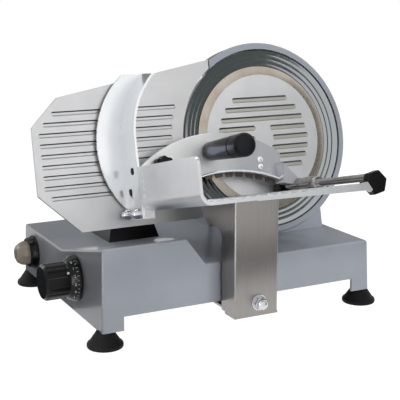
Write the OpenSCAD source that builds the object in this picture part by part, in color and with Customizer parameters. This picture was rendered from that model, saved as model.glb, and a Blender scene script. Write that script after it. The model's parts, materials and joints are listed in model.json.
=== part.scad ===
// Countertop deli meat slicer with a 250 mm blade, a sliding tray and a swinging pusher.
// X runs along the base, +Y away from the user, +Z up. The origin is under the middle of its box.
// Tilted pieces are drawn in the blade's own frame: x to the right, u up the blade, n out of its face.

/* [Base] */
// Length of the base
base_len = 394; // [380:1:420]
// Depth of the base
base_depth = 310; // [300:1:330]
// Height of the low top of the base above the table
base_top = 91; // [90:1:94]
// Height of the raised step at the front left
step_top = 127; // [120:1:128]
// Length of the raised step
step_len = 114; // [100:1:120]
// Depth of the ramp behind the step
ramp_len = 150; // [145:1:150]
// Wall thickness of the base casting
wall = 4; // [3:0.5:4.5]
// Height of a rubber foot
foot_h = 21; // [19:1:23]
// Largest radius of a rubber foot
foot_r = 23; // [20:0.5:24]
// Height of the legs below the long bottom edges
leg_h = 18; // [16:1:18]
// Width of a leg
leg_w = 26; // [22:1:28]
// How far the foot of each wall stands out beyond its top
draft = 3; // [2:0.5:3]

/* [Blade] */
// Diameter of the slicing blade
blade_d = 250; // [248:1:252]
// Backward lean of the blade
lean = 13.7; // [13.2:0.1:14]
// Blade centre from the left end of the base
blade_x = 297; // [294:1:300]
// Blade centre behind the front of the base
blade_y = 120; // [118:1:122]
// Height of the blade centre
blade_z = 225; // [224:1:227]
// Outer radius of the ring guard
ring_r = 136; // [132:0.5:137]
// Radius of the blade cover
cover_r = 102.7; // [102:0.1:103]
// Radius of the blade shaft
shaft_r = 15; // [14:0.5:15]

/* [Gauge plate and dial] */
// Thickest slice
slice_max = 15; // [10:1:15]
// Turn of the dial over the slice range, in degrees
dial_turn = 330; // [300:10:330]
// Thickness of the gauge plate
plate_t = 5; // [4:0.5:6]
// Spacing of the grooves in the gauge plate
groove_pitch = 13.6; // [13:0.1:14]
// Reach of the dial knob from the left end of the base
knob_reach = 48; // [44:1:52]
// Radius of the dial flange
dial_r = 30; // [27:1:31]

/* [Carriage] */
// Front edge of the tray, measured out from the blade
tray_front = 224; // [215:1:226]
// Depth of the tray floor below the blade centre
tray_drop = 80; // [79:1:81]
// Height of the tray wall
tray_wall_h = 53; // [45:1:56]
// Width of the stainless arm
arm_w = 63; // [56:1:64]
// Left side of the arm from the left end of the base
arm_x = 161; // [158:1:164]
// Radius of the carriage guide bar
guide_r = 9; // [8:0.5:9]
// Radius of the pusher rod
rod_r = 5; // [4.5:0.5:5]

/* [Hidden] */
$fn = 64;
eps = 0.01;
far = 600;
fit = 0.05;

// Colours
paint = "#979ea6";
satin = "#c9c9c6";
polished = "#e2e4e6";
stainless = "#bdb8b0";
dark = "#1d1e20";
steel = "#8d9196";
bronze = "#a87b45";

// Place of the base's front left corner
lip_u = -tray_drop - 10;
front_y = blade_y - tray_front * cos(lean) + lip_u * sin(lean);
gland_reach = 14;
gland_x = 60;
gland_z = 55;
base_x = (knob_reach - blade_x - ring_r) / 2;
base_y = -(front_y + base_depth + gland_reach) / 2;

// Blade stack, as distances out from the cutting edge
blade_r = blade_d / 2;
rim_n = 1.5;
cover_n = -1;
hub_n = -7;
hub_back_n = -12;
flange_n = -16;
back_n = -18;
back_t = 6;
boss_n = -57;
pulley_n = -74;
pulley_w = 15;
tower_n = -80;
plate_n = -83;
pulley_r = 38;
motor_pulley_r = 19;
motor_drop = 95;
motor_r = 46;
motor_shaft_r = 7;
motor_len = 86;
tower_r = 56;
tower_in = 50;
bearing_r = 31;
tie_r = 6;
hub_hole = 20;

// Gauge mechanism
gauge_x = -192;
bar_u = -146;
bar_r = 8;
bar_back_n = -130;
bar_front_n = -46;
column_n = -95;
column_t = 25;
sleeve_half = 14;
dial_y = 91;
dial_z = 67;
dial_n = (blade_y - dial_y) * cos(lean) + (dial_z - blade_z) * sin(lean);
dial_u = (dial_y - blade_y) * sin(lean) + (dial_z - blade_z) * cos(lean);
cam_r = 14;
cam_x = 86;
cam_t = 5;
dial_shaft_r = 5;

// Switch on the left end
switch_y = 262;
switch_z = 60;

// Carriage bars under the base
guide_y = 40;
guide_z = 60;
support_y = 14;
support_z = 70;
support_r = 5;
arm_front = -40;
arm_t = 3;
arm_foot_z = 25;
floor_t = 4;
wall_x = -223;
tray_right = 4;
tray_back = 6;
wall_back = 55;
bend_r = 14;
rod_x = 19;
rod_u = -72;
hub_r = 10;
hub_n0 = 21;
sleeve_r = 7.5;

module on_base() {
    translate([base_x, base_y, 0]) children();
}

// x right, u up the blade, n out of the blade's face, from the blade's centre
module on_blade() {
    translate([base_x + blade_x, base_y + blade_y, blade_z]) rotate([90 - lean, 0, 0]) children();
}

module at_n(from, to) {
    translate([0, 0, from]) linear_extrude(to - from) children();
}

// A drawing in the Y-Z plane, pulled along X
module along_x(from, to) {
    translate([from, 0, 0]) rotate([90, 0, 90]) linear_extrude(to - from) children();
}

module round_bar(r, from, to) {
    translate([from, 0, 0]) rotate([0, 90, 0]) cylinder(r = r, h = to - from);
}

module slot_2d(x0, x1, u, w) {
    translate([x0 + w / 2, u - w / 2]) square([x1 - x0 - w, w]);
    translate([x0 + w / 2, u]) circle(d = w);
    translate([x1 - w / 2, u]) circle(d = w);
}

// Solid outline of the base, drawn in by the given amount, with walls that lean out to their feet
module base_form(inset) {
    slope_end = step_len + (step_top - base_top) * 0.735;
    out = draft - inset;
    foot = foot_h - inset;
    low = base_top - inset;
    high = step_top - inset;
    intersection() {
        along_x(-out, base_len + out) polygon([[-out, foot], [inset, high], [ramp_len - inset, low],
            [base_depth - inset, low], [base_depth + out, foot]]);
        translate([0, base_depth + out, 0]) rotate([90, 0, 0]) linear_extrude(base_depth + 2 * out)
            polygon([[-out, foot], [inset, high], [step_len - inset / 2, high], [slope_end - inset / 2, low],
                [base_len - inset, low], [base_len + out, foot]]);
    }
}

foot_places = [for (x = [5, base_len - 5]) for (y = [9, base_depth - 9]) [x, y]];
foot_hole_r = 3;
boss_r = 10;
boss_top = 60;
// Depth of a leg along the right end, which is open between its legs like the front and the back
leg_d = 30;
// Depth of the open tunnel in which the carriage runs
tunnel_y = 112;
dial_hole_r = 9;
switch_hole_r = 11;
gland_hole_r = 9;
// Rim of the flat round each hole for the dial, the switch and the cable gland
flat_w = [4, 15, 8];
// Ends of the carriage bars, halfway into the side walls
bar_end = (wall - draft) / 2;

module wall_flats(grow) {
    translate([0, dial_y, dial_z]) round_bar(dial_hole_r + flat_w[0] + grow, -draft, wall + grow);
    translate([0, switch_y, switch_z]) round_bar(switch_hole_r + flat_w[1] + grow, -draft, wall + grow);
    translate([gland_x, base_depth + draft, gland_z]) rotate([90, 0, 0])
        cylinder(r = gland_hole_r + flat_w[2] + grow, h = wall + draft + grow);
}

module base_housing() color(paint) on_base() difference() {
    union() {
        difference() {
            base_form(0);
            base_form(wall);
        }
        // bosses for the foot screws
        intersection() {
            base_form(0);
            for (p = foot_places) translate([p[0], p[1], foot_h]) cylinder(r = boss_r, h = boss_top - foot_h);
        }
        wall_flats(0);
    }
    translate([leg_w, -2 * draft, 0]) cube([base_len - 2 * leg_w, base_depth + 4 * draft, foot_h + leg_h]);
    translate([base_len / 2, leg_d, 0]) cube([base_len, base_depth - 2 * leg_d, foot_h + leg_h]);
    for (p = foot_places) translate([p[0], p[1], 0]) cylinder(r = foot_hole_r, h = boss_top - 10);
    // opening in the top for the motor
    translate([blade_x - 52, 165, base_top - 10]) cube([104, base_depth - 165 - 8, 20]);
    // slot for the gauge column
    translate([blade_x + gauge_x - 17, 151, base_top - 10]) cube([34, 54, 20]);
    translate([0, dial_y, dial_z]) round_bar(dial_hole_r, -2 * draft, 2 * wall);
    translate([0, switch_y, switch_z]) round_bar(switch_hole_r, -2 * draft, 2 * wall);
    translate([0, guide_y, guide_z]) round_bar(guide_r, bar_end, base_len - bar_end);
    translate([0, support_y, support_z]) round_bar(support_r, bar_end, base_len - bar_end);
    translate([gland_x, base_depth + 2 * draft, gland_z]) rotate([90, 0, 0])
        cylinder(r = gland_hole_r, h = 2 * (draft + wall));
}

bottom_t = 2;
// Gap from the outside of the base to its bottom cover, at the height of the cover's top
bottom_in = wall - draft * (base_top - wall - foot_h - leg_h - bottom_t) / (base_top - foot_h) + fit;
slot_pitch = 12;

module bottom_cover() color(steel) on_base() difference() {
    translate([bottom_in, tunnel_y, foot_h + leg_h])
        cube([base_len - 2 * bottom_in, base_depth - tunnel_y - bottom_in, bottom_t]);
    for (p = foot_places) translate([p[0], p[1], foot_h]) cylinder(r = boss_r + fit, h = boss_top - foot_h);
    for (k = [0:9]) translate([234 + slot_pitch * k, tunnel_y + 90, foot_h]) cube([5, 60, 2 * leg_h]);
    wall_flats(fit);
}

module rubber_feet() color(dark) on_base() for (p = foot_places) translate([p[0], p[1], 0])
    difference() {
        rotate_extrude() polygon([[0, 0], [foot_r - 1, 0], [foot_r, 1], [foot_r, 5], [foot_r - 3, 7.5],
            [11, foot_h], [0, foot_h]]);
        translate([0, 0, -1]) cylinder(r = 6, h = 7);
        cylinder(r = foot_hole_r, h = foot_h + 1);
    }

module foot_screws() color(steel) on_base() for (p = foot_places) translate([p[0], p[1], 2]) {
    cylinder(r = 5.5, h = 4);
    cylinder(r = foot_hole_r - 0.1, h = boss_top - 16);
}

// Hollow tower behind the blade, and the screws that close it
tower_drop = 170;
tower_mid = (tower_r + tower_in) / 2;
tower_screws = [for (s = [-1, 1]) each
    [[s * tower_mid * cos(45), tower_mid * sin(45)], [s * tower_mid, -60]]];

module tower_2d(r) {
    circle(r = r);
    translate([-r, -tower_drop]) square([2 * r, tower_drop]);
}

module blade_housing() color(paint) difference() {
    on_blade() difference() {
        union() {
            at_n(back_n - back_t, rim_n) circle(r = ring_r, $fn = 128);
            at_n(back_n - back_t, -4) translate([-70, -170]) square([154.5, 110]);
            at_n(boss_n, back_n) circle(r = 42);
            at_n(tower_n, back_n) difference() {
                tower_2d(tower_r);
                tower_2d(tower_in);
            }
        }
        // room for the blade, then the recess behind it
        at_n(-14, 10) circle(r = blade_r + 2, $fn = 128);
        at_n(back_n, 10) circle(r = blade_r - 6, $fn = 128);
        // open on the left, where the gauge plate comes up to the blade
        at_n(-40, 10) difference() {
            translate([-180, -170]) square([104, 340]);
            circle(r = blade_r - 4, $fn = 128);
        }
        at_n(boss_n - 1, 10) circle(r = bearing_r);
        for (p = tower_screws) translate([p[0], p[1], tower_n - 1]) cylinder(r = 1.6, h = 12);
    }
    on_base() translate([0, -1, 0]) cube([far, far, base_top]);
}

module housing_screws() color(steel) on_blade() for (p = tower_screws)
    translate([p[0], p[1], plate_n - 3]) {
        cylinder(r = 3.4, h = 3);
        cylinder(r = 1.6, h = 9);
    }

module bearing_ring(n0) {
    at_n(n0, n0 + 12) difference() {
        circle(r = bearing_r);
        circle(r = shaft_r + fit);
    }
}

module blade_bearings() color(steel) on_blade() {
    bearing_ring(-36);
    bearing_ring(-54);
}

module motor_plate() color(steel) difference() {
    on_blade() at_n(plate_n, tower_n) difference() {
        tower_2d(tower_r);
        circle(r = 12);
        translate([0, -motor_drop]) circle(r = 21);
        for (p = tower_screws) translate(p) circle(r = 1.7);
    }
    on_base() translate([0, -1, 0]) cube([far, far, base_top]);
}

module motor_body() color(steel) on_blade() translate([0, -motor_drop, plate_n - motor_len]) difference() {
    union() {
        rotate_extrude() polygon([[0, 0], [30, 0], [motor_r - 4, 4], [motor_r, 8], [motor_r, motor_len - 10],
            [motor_r - 6, motor_len], [0, motor_len]]);
        for (a = [0:15:345]) rotate(a) translate([motor_r - 1, -1, 14]) cube([2, 2, motor_len - 32]);
    }
    translate([0, 0, 10]) cylinder(r = motor_shaft_r + fit, h = motor_len);
}

cover_half = 62;
cover_top = 168;
cover_y0 = 120;
cover_y1 = 302;
cover_slope = 16;
cover_t = 3;
vent_pitch = 10;

// Motor cover drawn from behind, with sloped shoulders, and from the side, with a sloped back
module cover_form(inset) {
    half = cover_half - inset;
    top = cover_top - inset;
    back = cover_y1 - inset;
    intersection() {
        translate([0, cover_y1, 0]) rotate([90, 0, 0]) linear_extrude(cover_y1 - cover_y0)
            polygon([[-half, 0], [-half, top - cover_slope], [cover_slope - half, top],
                [half - cover_slope, top], [half, top - cover_slope], [half, 0]]);
        along_x(-cover_half, cover_half) polygon([[cover_y0, 0], [cover_y0, top],
            [back - 2 * cover_slope, top], [back, top - 2 * cover_slope], [back, 0]]);
    }
}

module motor_cover() color(paint) difference() {
    on_base() translate([blade_x, 0, 0]) difference() {
        cover_form(0);
        cover_form(cover_t);
        translate([-far / 2, 0, 0]) cube([far, far, base_top]);
        for (x = [-4:4]) translate([vent_pitch * x - 2.5, cover_y1 - 10, base_top + 8]) cube([5, 30, 28]);
    }
    on_blade() at_n(plate_n, far) square(2 * far, center = true);
}

// Outline of a loop round both pulleys, r1 at the blade and r2 at the motor
belt_steps = 24;
function belt_loop(r1, r2) = let (tilt = asin((r1 - r2) / motor_drop)) concat(
    [for (k = [0:belt_steps]) let (a = -tilt + k * (180 + 2 * tilt) / belt_steps)
        [r1 * cos(a), r1 * sin(a)]],
    [for (k = [0:belt_steps]) let (a = 180 + tilt + k * (180 - 2 * tilt) / belt_steps)
        [r2 * cos(a), r2 * sin(a) - motor_drop]]);
belt_gap = 0.3;
belt_t = 3;

module drive_belt() color(dark) on_blade() at_n(pulley_n + 2, pulley_n + pulley_w - 2) difference() {
    polygon(belt_loop(pulley_r + belt_t, motor_pulley_r + belt_t));
    polygon(belt_loop(pulley_r + belt_gap, motor_pulley_r + belt_gap));
}

module run_capacitor() color(satin) on_base() translate([150, 270, 60]) {
    round_bar(17, 0, 58);
    round_bar(4, 58, 66);
    translate([10, -10, -19]) cube([20, 20, 4]);
}

module power_board() color("#2d5a3c") on_base() translate([40, 230, foot_h + leg_h + 2]) {
    translate([0, 0, 5]) cube([80, 55, 2]);
    for (x = [4, 76]) for (y = [4, 51]) translate([x, y, 0]) cylinder(r = 3, h = 5);
    translate([8, 12, 7]) cube([20, 16, 16]);
    translate([40, 10, 7]) cube([16, 28, 10]);
    for (k = [0:4]) translate([12 + 11 * k, 42, 7]) cube([9, 9, 9]);
}

cover_rows = [[55.5, -45, 45], [42, -58, 59], [28, -66, 68.5], [15, -71, -12], [14, 12, 72], [0, -75, -14],
    [0, 15, 75], [-14.5, -73, -12], [-14.5, 12, 73.5], [-27, -69, -8], [-27, 8, 68.5], [-40, -60, -18],
    [-40, 18, 60]];

module blade_cover() color(satin) on_blade() difference() {
    rotate_extrude($fn = 128) polygon([[0, cover_n], [cover_r - 12, cover_n], [cover_r, -3.4],
        [cover_r, -3.9], [cover_r - 10, -4.6], [14, -4.6], [14, -6.4], [0, -6.4]]);
    for (row = cover_rows) at_n(cover_n - 1.2, cover_n + 1) slot_2d(row[1], row[2], row[0], 5.5);
    translate([0, 0, -20]) cylinder(r = 4, h = 17);
}

boot_x0 = 69;
boot_x1 = 145;
boot_y0 = 151;
boot_y1 = 220;
boot_h = 31;
boot_in = 9;

boot_t = 3;
boot_slot = [40, 50];
boot_slot_y = 163;

module boot_form(inset) {
    top = boot_h - inset;
    intersection() {
        along_x(0, base_len) polygon([[boot_y0 + inset, 0], [boot_y0 + boot_in + inset, top],
            [boot_y1 - boot_in / 2 - inset, top], [boot_y1 - inset, 0]]);
        translate([0, base_depth, 0]) rotate([90, 0, 0]) linear_extrude(base_depth)
            polygon([[boot_x0 + inset, 0], [boot_x0 + boot_in + inset, top],
                [boot_x1 - boot_in - inset, top], [boot_x1 - inset, 0]]);
    }
}

module gauge_boot() color(dark) on_base() translate([0, 0, base_top]) difference() {
    boot_form(0);
    translate([0, 0, -eps]) boot_form(boot_t);
    translate([blade_x + gauge_x - boot_slot[0] / 2, boot_slot_y, boot_h - 2 * boot_t])
        cube([boot_slot[0], boot_slot[1], boot_h]);
}

module gauge_guide_bar() color(polished) on_blade() translate([gauge_x, bar_u, 0])
    at_n(bar_back_n, bar_front_n) circle(r = bar_r);

module gauge_bar_blocks() color(satin) difference() {
    on_blade() translate([gauge_x, bar_u, 0]) for (n0 = [bar_back_n - 1, bar_front_n - 10]) at_n(n0, n0 + 10)
        translate([-12, -10.5]) square([24, 60]);
    on_blade() translate([gauge_x, bar_u, 0]) at_n(bar_back_n, bar_front_n) circle(r = bar_r);
    on_base() translate([0, 0, base_top - wall]) cube([far, far, far]);
}

module dial_bush() color(bronze) on_base() translate([0, dial_y, dial_z]) difference() {
    union() {
        round_bar(dial_hole_r, 0, 12);
        round_bar(dial_hole_r + 3, wall, 7);
    }
    round_bar(dial_shaft_r + fit, -1, 13);
}

// Switch cap, and the inside of the collar round it
cap_r = 18.3;
collar_in = cap_r + 0.7;

module switch_bezel() color(dark) on_base() translate([-draft, switch_y, switch_z]) rotate([0, -90, 0])
    rotate_extrude() polygon([[collar_in, 0], [24, 0], [24, 2], [21.8, 6], [20.8, 11], [collar_in, 11]]);

module switch_body() color(dark) on_base() translate([0, switch_y, switch_z]) difference() {
    union() {
        round_bar(switch_hole_r, 0, 12);
        round_bar(switch_hole_r + 4, wall, 36);
    }
    round_bar(4 + fit, -1, 22);
}

module cable_gland() color(dark) on_base() translate([gland_x, base_depth, gland_z]) rotate([-90, 0, 0])
    difference() {
        union() {
            translate([0, 0, draft]) cylinder(r = 14, h = 4, $fn = 6);
            translate([0, 0, draft]) cylinder(r = 11, h = gland_reach - draft);
            translate([0, 0, -wall - 8]) cylinder(r = gland_hole_r, h = wall + 9 + draft);
            translate([0, 0, -wall - 6]) cylinder(r = 13, h = 6, $fn = 6);
        }
        translate([0, 0, -30]) cylinder(r = 4, h = 60);
    }

module carriage_guide_bar() color(polished) on_base() translate([0, guide_y, guide_z])
    round_bar(guide_r, bar_end, base_len - bar_end);

module carriage_support_bar() color(polished) on_base() translate([0, support_y, support_z])
    round_bar(support_r, bar_end, base_len - bar_end);

blade_screw_places = [for (a = [45:90:315]) 36 * [cos(a), sin(a)]];

module slicing_blade() color(polished) on_blade() difference() {
    rotate_extrude($fn = 128) polygon([[hub_hole, hub_n], [96, hub_n], [99, -5.6], [105, -5.2], [105.4, -4.2],
        [111.4, -3.6], [111.8, -2.6], [117.6, -2], [118, -1.2], [blade_r - 3.5, -1], [blade_r, 0],
        [112, -6.5], [104, -9], [98, hub_back_n], [hub_hole, hub_back_n]]);
    for (p = blade_screw_places) translate([p[0], p[1], -20]) cylinder(r = 2.6, h = 20);
}

module blade_shaft() color(steel) on_blade() difference() {
    union() {
        at_n(flange_n, hub_back_n) circle(r = 46);
        at_n(flange_n - 1, hub_n) circle(r = hub_hole - fit);
        at_n(pulley_n - 2, flange_n) circle(r = shaft_r);
    }
    at_n(pulley_n - 4, 10) circle(r = tie_r + fit);
    for (p = blade_screw_places) translate([p[0], p[1], -18]) cylinder(r = 2.1, h = 10);
}

module blade_screws() color(steel) on_blade() for (p = blade_screw_places) translate([p[0], p[1], flange_n]) {
    cylinder(r = 2, h = 10);
    translate([0, 0, hub_n - flange_n]) cylinder(r = 4.5, h = 1.8);
}

module grooved_pulley(r, bore) {
    difference() {
        cylinder(r = r, h = pulley_w);
        translate([0, 0, -1]) cylinder(r = bore, h = pulley_w + 2);
        for (k = [0:4]) translate([0, 0, 2.6 + 2.4 * k]) rotate_extrude()
            polygon([[r - 1.6, 0], [r + 1, -1], [r + 1, 1]]);
    }
}

module blade_pulley() color(satin) on_blade() translate([0, 0, pulley_n]) grooved_pulley(pulley_r, shaft_r);

module motor_pulley() color(satin) on_blade() translate([0, -motor_drop, pulley_n])
    grooved_pulley(motor_pulley_r, motor_shaft_r);

module motor_shaft() color(steel) on_blade() translate([0, -motor_drop, 0])
    at_n(plate_n - motor_len + 12, pulley_n + pulley_w) circle(r = motor_shaft_r);

module cover_tie_rod() color(polished) on_blade() {
    at_n(plate_n - 6, -7) circle(r = tie_r);
    at_n(-7, -3.2) circle(r = 3.9);
}

// Black knob with eight lobes
module lobed_knob(r, h, lobe_r) {
    cylinder(r = r, h = h);
    for (a = [0:45:315]) rotate(a) translate([r - lobe_r / 2, 0, h / 8]) cylinder(r = lobe_r, h = h * 3 / 4);
}

module tie_rod_knob() color(dark) on_blade() translate([0, 0, plate_n - 26]) difference() {
    lobed_knob(15, 24, 4);
    translate([0, 0, 20]) cylinder(r = tie_r, h = 20);
}

plate_outline = [[-300.8, 73.4], [-338.5, 36.5], [-339.5, -51], [-286, -102.7], [-77, -102.7], [-77, 114.6]];
groove_rows = [for (k = [-4:4]) -2 + k * groove_pitch];
groove_end_r = 144;
groove_w = 5;
gauge_front = -0.3;
gauge_back = gauge_front - plate_t;
gauge_screw_places = [for (x = [-45, 45]) for (u = [-65, 15]) [x, u]];

// Left end of a groove: inside the plate's left side and its two chamfers
function groove_left(u) = max(-330.5, -310 - (53 - u) * 0.95, -322 - (u + 57) * 0.8);

module gauge_plate() color(satin) on_blade() difference() {
    at_n(gauge_back, gauge_front) difference() {
        polygon(plate_outline);
        circle(r = blade_r + 3, $fn = 128);
    }
    for (u = groove_rows) at_n(-1.8, 1)
        slot_2d(groove_left(u), -sqrt(groove_end_r * groove_end_r - u * u), u, groove_w);
}

module gauge_bracket() color(satin) on_blade() translate([gauge_x, 0, 0]) difference() {
    union() {
        at_n(column_n, gauge_back) translate([-20, -70]) square([40, 50]);
        at_n(-14, gauge_back) translate([-60, -80]) square([120, 110]);
        at_n(column_n, column_n + column_t) translate([-14, bar_u]) square([28, 90]);
        at_n(column_n - 5, column_n + 33) translate([-18, bar_u - sleeve_half]) square([36, 2 * sleeve_half]);
        // finger that follows the cam
        translate([cam_x - blade_x - gauge_x - 0.5, dial_u + 0.5, column_n + 30])
            cube([cam_t + 1, 5.5, dial_n - cam_r - 0.5 - column_n - 30]);
    }
    translate([0, bar_u, 0]) at_n(column_n - 10, column_n + 40) circle(r = bar_r + fit);
    for (p = gauge_screw_places) translate([p[0], p[1], -20]) cylinder(r = 2.6, h = 20);
}

module gauge_screws() color(steel) on_blade() translate([gauge_x, 0, 0]) for (p = gauge_screw_places)
    translate(p) {
        at_n(-18, -14) circle(r = 4.5);
        at_n(-14, gauge_back) circle(r = 2.5);
    }

grip_r = 23.6;
flute_r = 4;
flute_depth = 1.2;
flute_step = 30;
knob_back = draft + 0.5;

module thickness_knob() color(dark) on_base() translate([0, dial_y, dial_z]) rotate([0, -90, 0])
    difference() {
        rotate_extrude() polygon([[0, knob_back], [dial_r, knob_back], [dial_r, knob_back + 3],
            [grip_r + 1.4, 15.5], [grip_r, 16.5], [grip_r, knob_reach - 3.5], [grip_r - 3, knob_reach],
            [0, knob_reach]]);
        for (a = [0:flute_step:359]) rotate(a) translate([grip_r + flute_r - flute_depth, 0, 19])
            cylinder(r = flute_r, h = knob_reach);
        translate([0, 0, -1]) cylinder(r = dial_shaft_r, h = 30);
    }

module dial_shaft() color(steel) on_base() translate([0, dial_y, dial_z])
    round_bar(dial_shaft_r, -29, cam_x + cam_t + 6);

// Spiral cam: its radius grows by the slice range over the dial's turn
module dial_cam() color(bronze) on_base() translate([0, dial_y, dial_z]) along_x(cam_x, cam_x + cam_t)
    difference() {
        polygon([for (a = [0:3:345]) let (r = cam_r + slice_max * min(a, dial_turn) / dial_turn)
            [r * cos(a - lean), r * sin(a - lean)]]);
        circle(r = dial_shaft_r);
    }

module switch_button() color(satin) on_base() translate([-draft, switch_y, switch_z]) rotate([0, -90, 0]) {
    rotate_extrude() polygon([[0, 4.5], [cap_r, 4.5], [cap_r, 15], [cap_r - 1, 20], [13.5, 26], [9, 28.5],
        [0, 28.5]]);
    translate([0, 0, -14]) cylinder(r = 4, h = 20);
}

// Side outline of the arm, with the gusset under the tray
function floor_z(y) = blade_z + ((y - blade_y) * -sin(lean) - (tray_drop + floor_t)) / cos(lean);
arm_side = [[arm_front, arm_foot_z + arm_t], [-5, arm_foot_z + arm_t], [-5, 124], [0, 131], [11, 135],
    [33, 133], [45, 143], [58, floor_z(58)], [arm_front, floor_z(arm_front)]];
nut_x = 196;
nut_z = 43;
pin_x = nut_x - 17;
pin_z = nut_z + 11;
pin_r = 3;
slider_screw_x = [arm_x + 14, arm_x + arm_w - 14];
// The arm's foot is full width at the front and steps in behind that
foot_front = 26;
foot_step = 8;

module carriage_arm() color(stainless) on_base() difference() {
    union() {
        for (x = [arm_x, arm_x + arm_w - arm_t]) along_x(x, x + arm_t) polygon(arm_side);
        intersection() {
            translate([arm_x, arm_front, arm_foot_z + arm_t]) cube([arm_w, arm_t, 200]);
            along_x(arm_x, arm_x + arm_w) polygon(arm_side);
        }
    }
    translate([nut_x, 0, nut_z]) rotate([90, 0, 0]) cylinder(r = 5.2, h = 50);
    translate([pin_x, 0, pin_z]) rotate([90, 0, 0]) cylinder(r = pin_r + 0.1, h = 50);
}

module slider_foot() color(stainless) on_base() difference() {
    union() {
        translate([arm_x, arm_front, arm_foot_z]) cube([arm_w, foot_front, arm_t]);
        translate([arm_x + foot_step, arm_front, arm_foot_z])
            cube([arm_w - 2 * foot_step, guide_y + 18 - arm_front, arm_t]);
        translate([arm_x + arm_t + 1, arm_front + arm_t, arm_foot_z + arm_t])
            cube([arm_w - 2 * arm_t - 2, 24, 36]);
        translate([pin_x, arm_front + arm_t, pin_z]) rotate([90, 0, 0]) cylinder(r = pin_r, h = arm_t);
    }
    translate([nut_x, 0, nut_z]) rotate([90, 0, 0]) cylinder(r = 5, h = 50);
    for (x = slider_screw_x) translate([x, guide_y, 0]) cylinder(r = 3.2, h = 60);
}

module arm_nut() color(polished) on_base() translate([nut_x, arm_front, nut_z]) rotate([90, 0, 0]) {
    cylinder(r = 10.5, h = 1.6);
    translate([0, 0, 1.6]) cylinder(r = 9.2, h = 7, $fn = 6);
    translate([0, 0, 8.6]) rotate_extrude() intersection() {
        circle(r = 7.6);
        square(10);
    }
    translate([0, 0, -22]) cylinder(r = 4.95, h = 23);
}

slider_x = arm_x + 4;
slider_w = arm_w - 8;

module carriage_slider() color(satin) on_base() difference() {
    union() {
        translate([slider_x, guide_y - 18, arm_foot_z + arm_t]) cube([slider_w, 36, 51]);
        translate([slider_x, support_y - 9, support_z - 8]) cube([slider_w, 20, 16]);
    }
    translate([0, guide_y, guide_z]) round_bar(guide_r + 3, slider_x - 1, slider_x + slider_w + 1);
    translate([0, support_y, support_z]) round_bar(support_r + fit, slider_x - 1, slider_x + slider_w + 1);
    for (x = slider_screw_x) translate([x, guide_y, 0]) cylinder(r = 2.5, h = 40);
}

module slider_bushes() color(bronze) on_base() translate([0, guide_y, guide_z])
    for (x = [slider_x, slider_x + slider_w - 18]) difference() {
        round_bar(guide_r + 3, x, x + 18);
        round_bar(guide_r + fit, x - 1, x + 19);
    }

floor_u = -tray_drop;
wall_top = floor_u + tray_wall_h;
rib_pitch = 14;

module floor_2d() {
    translate([wall_x + bend_r, floor_u - floor_t]) square([tray_right - wall_x - bend_r, floor_t]);
    for (x = [wall_x + bend_r + 4:rib_pitch:tray_right - 4]) intersection() {
        translate([x, floor_u - 2]) circle(r = 4);
        translate([x - 5, floor_u - 1]) square([10, 5]);
    }
}

module wall_2d() {
    translate([wall_x, floor_u - floor_t + bend_r]) square([floor_t, wall_top - floor_u + floor_t - bend_r]);
    intersection() {
        translate([wall_x + bend_r, floor_u - floor_t + bend_r]) difference() {
            circle(r = bend_r);
            circle(r = bend_r - floor_t);
        }
        translate([wall_x, floor_u - floor_t]) square(bend_r);
    }
}

corner_r = 9;
rim_x = -150;
wall_grooves = 4;
wall_groove_pitch = 9.5;
wall_groove_depth = 0.8;

module product_tray() color(satin) on_blade() difference() {
    union() {
        at_n(tray_back, tray_front) floor_2d();
        at_n(wall_back, tray_front) wall_2d();
        // lug that takes the hand guard
        at_n(guard_back, wall_back) translate([wall_x + guard_t, -94]) square([bend_r, 94 - tray_drop]);
        // rim turned down along the front, which ends in a lip at the right corner
        at_n(tray_front - 4, tray_front) polygon([[rim_x, floor_u], [tray_right - 20, floor_u],
            [tray_right - 4, floor_u + 2.5], [tray_right + 1.5, floor_u + 3], [tray_right + 8, lip_u + 3],
            [tray_right + 5, lip_u], [tray_right, lip_u + 2.6], [rim_x, floor_u - floor_t - 1]]);
    }
    translate([wall_x - 1, wall_top, tray_front]) rotate([0, 90, 0]) difference() {
        translate([-corner_r, -corner_r, 0]) cube([2 * corner_r, 2 * corner_r, floor_t + 2]);
        translate([corner_r, -corner_r, -1]) cylinder(r = corner_r, h = floor_t + 4);
    }
    // shallow grooves along the outside of the wall
    for (k = [1:wall_grooves])
        translate([wall_x - 1, wall_top - wall_groove_pitch * k - groove_w / 2, wall_back + 12])
            cube([1 + wall_groove_depth, groove_w, tray_front - wall_back - 55]);
    for (n0 = guard_screw_n) translate([wall_x, guard_screw_u, n0]) round_bar(2.1, 0, 14);
}

guard_screw_n = [9, 43];
guard_screw_u = -86;
guard_back = 5;
guard_bend_u = 10;
guard_bend_r = 114.6;
guard_top = 98;
// Drop of the band's upper edge towards the front
guard_fall = 7;
guard_disc_r = 122;
guard_disc_x = -134.3;
guard_t = 3;
guard_front = wall_back - 0.5;
guard_slots = [[39, -32], [25, -57]];

module guard_band_2d() {
    cx = wall_x + guard_bend_r;
    translate([wall_x, -93]) square([guard_t, guard_bend_u + 93]);
    intersection() {
        translate([cx, guard_bend_u]) difference() {
            circle(r = guard_bend_r, $fn = 128);
            circle(r = guard_bend_r - guard_t, $fn = 128);
        }
        translate([wall_x, guard_bend_u]) square([60, guard_top - guard_bend_u]);
    }
}

module guard_flange_2d() {
    cx = wall_x + guard_bend_r;
    difference() {
        intersection() {
            translate([guard_disc_x, 3]) circle(r = guard_disc_r, $fn = 128);
            translate([-270, -79]) square([100, 79 + guard_top]);
        }
        translate([wall_x + guard_t, -100]) square([100, 100 + guard_bend_u]);
        translate([cx, guard_bend_u]) circle(r = guard_bend_r - guard_t, $fn = 128);
    }
}

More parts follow.
